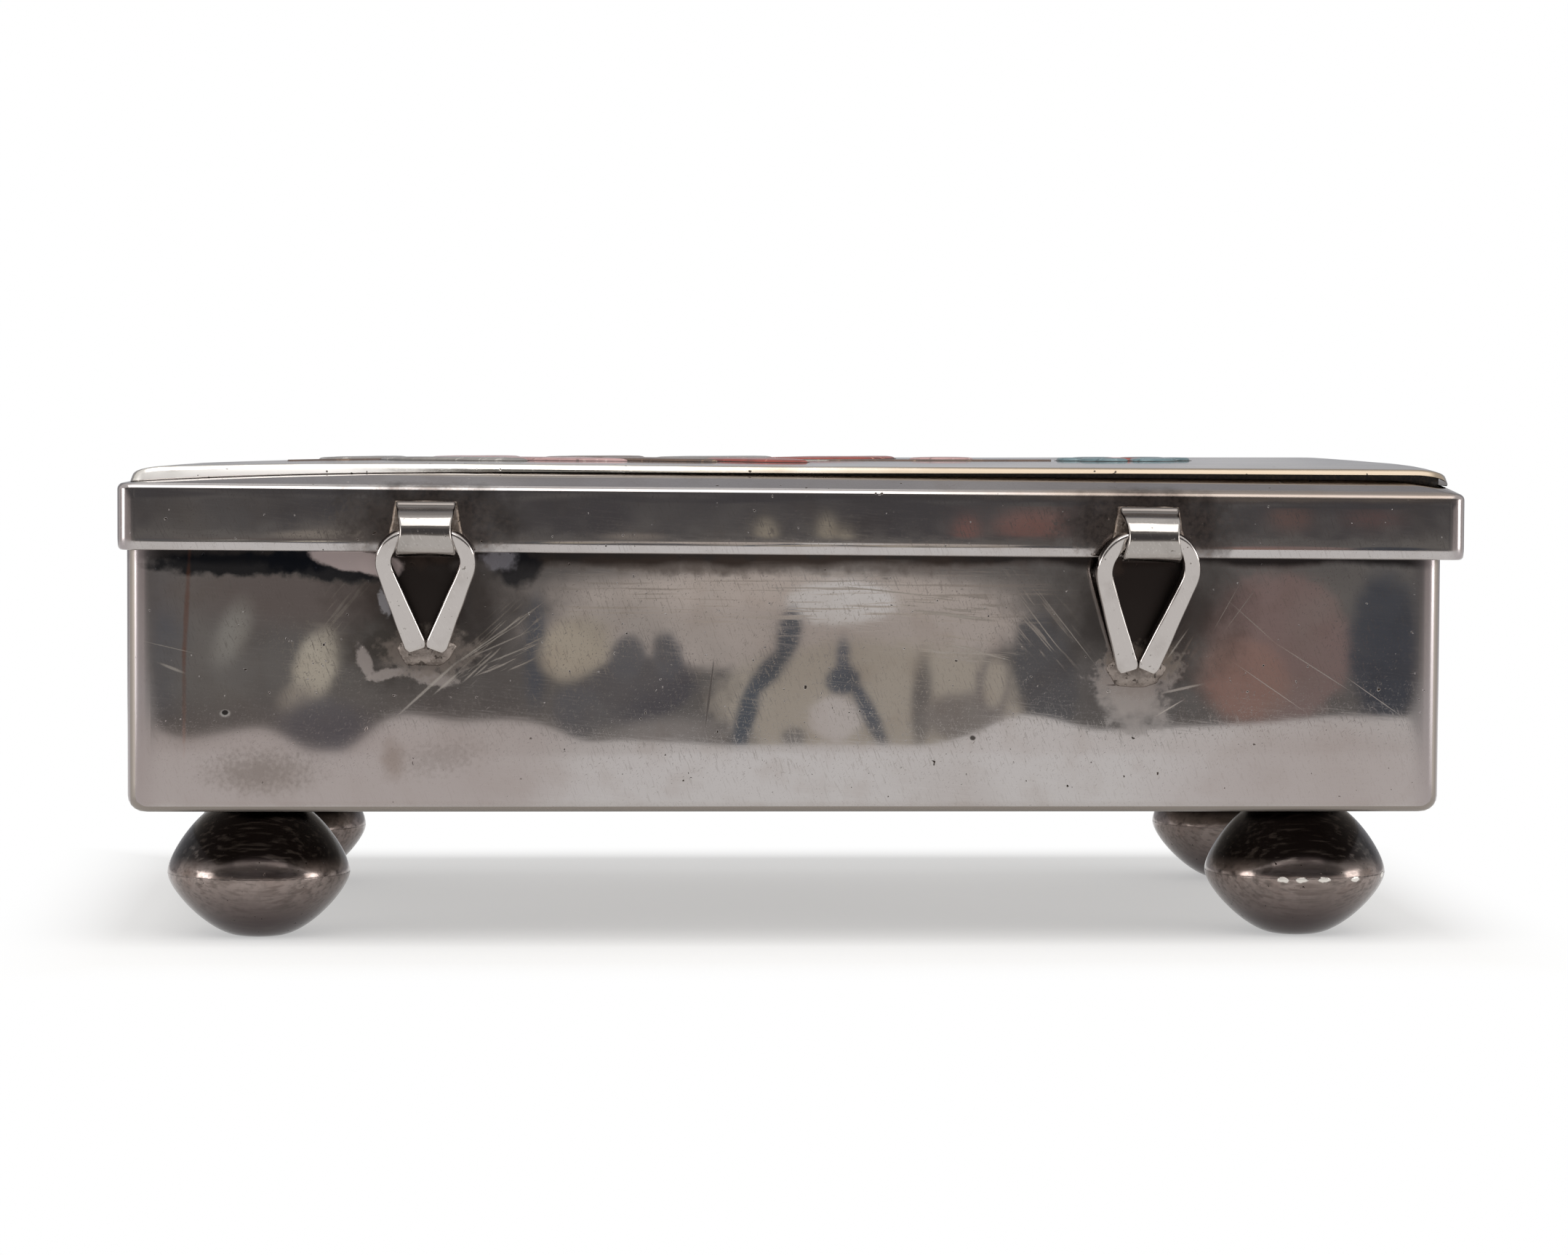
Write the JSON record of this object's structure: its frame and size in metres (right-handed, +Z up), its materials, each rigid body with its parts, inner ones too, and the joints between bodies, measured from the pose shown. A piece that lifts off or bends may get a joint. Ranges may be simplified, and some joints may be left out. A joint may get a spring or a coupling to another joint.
{
  "type": "inlaid silver box",
  "caption": "Shallow silver keepsake box on bun feet with a hinged overlapping lid, wire loop hinges and a stone-inlaid plate on top.",
  "frame": {"origin": "on the surface that the box stands on, under the middle of its bounding box", "axes": "+X along the box, -Y towards the hinged side that the picture shows, +Z up"},
  "size_m": [0.18, 0.117, 0.0655],
  "materials": {
    "aged_silver": "polished sterling sheet, finely scratched and lightly tarnished",
    "bright_silver": "bright polished sterling",
    "tarnished_silver": "stamped sterling with brown tarnish",
    "solder": "dull silver solder",
    "red_jasper": "polished opaque stone",
    "rose_stone": "polished opaque stone",
    "grey_stone": "polished opaque stone",
    "teal_stone": "polished opaque stone",
    "brown_stone": "polished opaque stone"
  },
  "bodies": {
    "box": {"wall_band": "aged_silver", "floor_plate": "aged_silver", "foot_upper_cup_back_left": "tarnished_silver", "foot_upper_cup_front_left": "tarnished_silver", "foot_upper_cup_back_right": "tarnished_silver", "foot_upper_cup_front_right": "tarnished_silver", "foot_lower_cup_back_left": "tarnished_silver", "foot_lower_cup_front_left": "tarnished_silver", "foot_lower_cup_back_right": "tarnished_silver", "foot_lower_cup_front_right": "tarnished_silver", "hinge_loop_left": "bright_silver", "hinge_solder_pad_left": "solder", "hinge_loop_right": "bright_silver", "hinge_solder_pad_right": "solder"},
    "lid": {"lid_shell": "aged_silver", "hinge_strap_left": "bright_silver", "hinge_tab_left": "bright_silver", "hinge_strap_right": "bright_silver", "hinge_tab_right": "bright_silver", "inlay_plate": "bright_silver", "inlay_stem": "brown_stone", "inlay_leaf_far_1": "grey_stone", "inlay_leaf_far_2": "rose_stone", "inlay_leaf_far_3": "brown_stone", "inlay_leaf_far_4": "grey_stone", "inlay_leaf_far_5": "red_jasper", "inlay_leaf_near_1": "grey_stone", "inlay_leaf_near_2": "rose_stone", "inlay_leaf_near_3": "brown_stone", "inlay_leaf_near_4": "red_jasper", "inlay_bud": "rose_stone", "inlay_blossom_eye": "red_jasper", "inlay_petal_1": "teal_stone", "inlay_petal_2": "teal_stone", "inlay_petal_3": "teal_stone", "inlay_petal_4": "teal_stone", "inlay_petal_5": "teal_stone", "inlay_petal_6": "teal_stone"}
  },
  "joints": [
    {"name": "lid_hinge", "type": "hinge", "parent": "box", "child": "lid", "pos_m": [0, -0.0554, 0.0553], "axis": [1, 0, 0], "range_deg": [0, 110]}
  ]
}
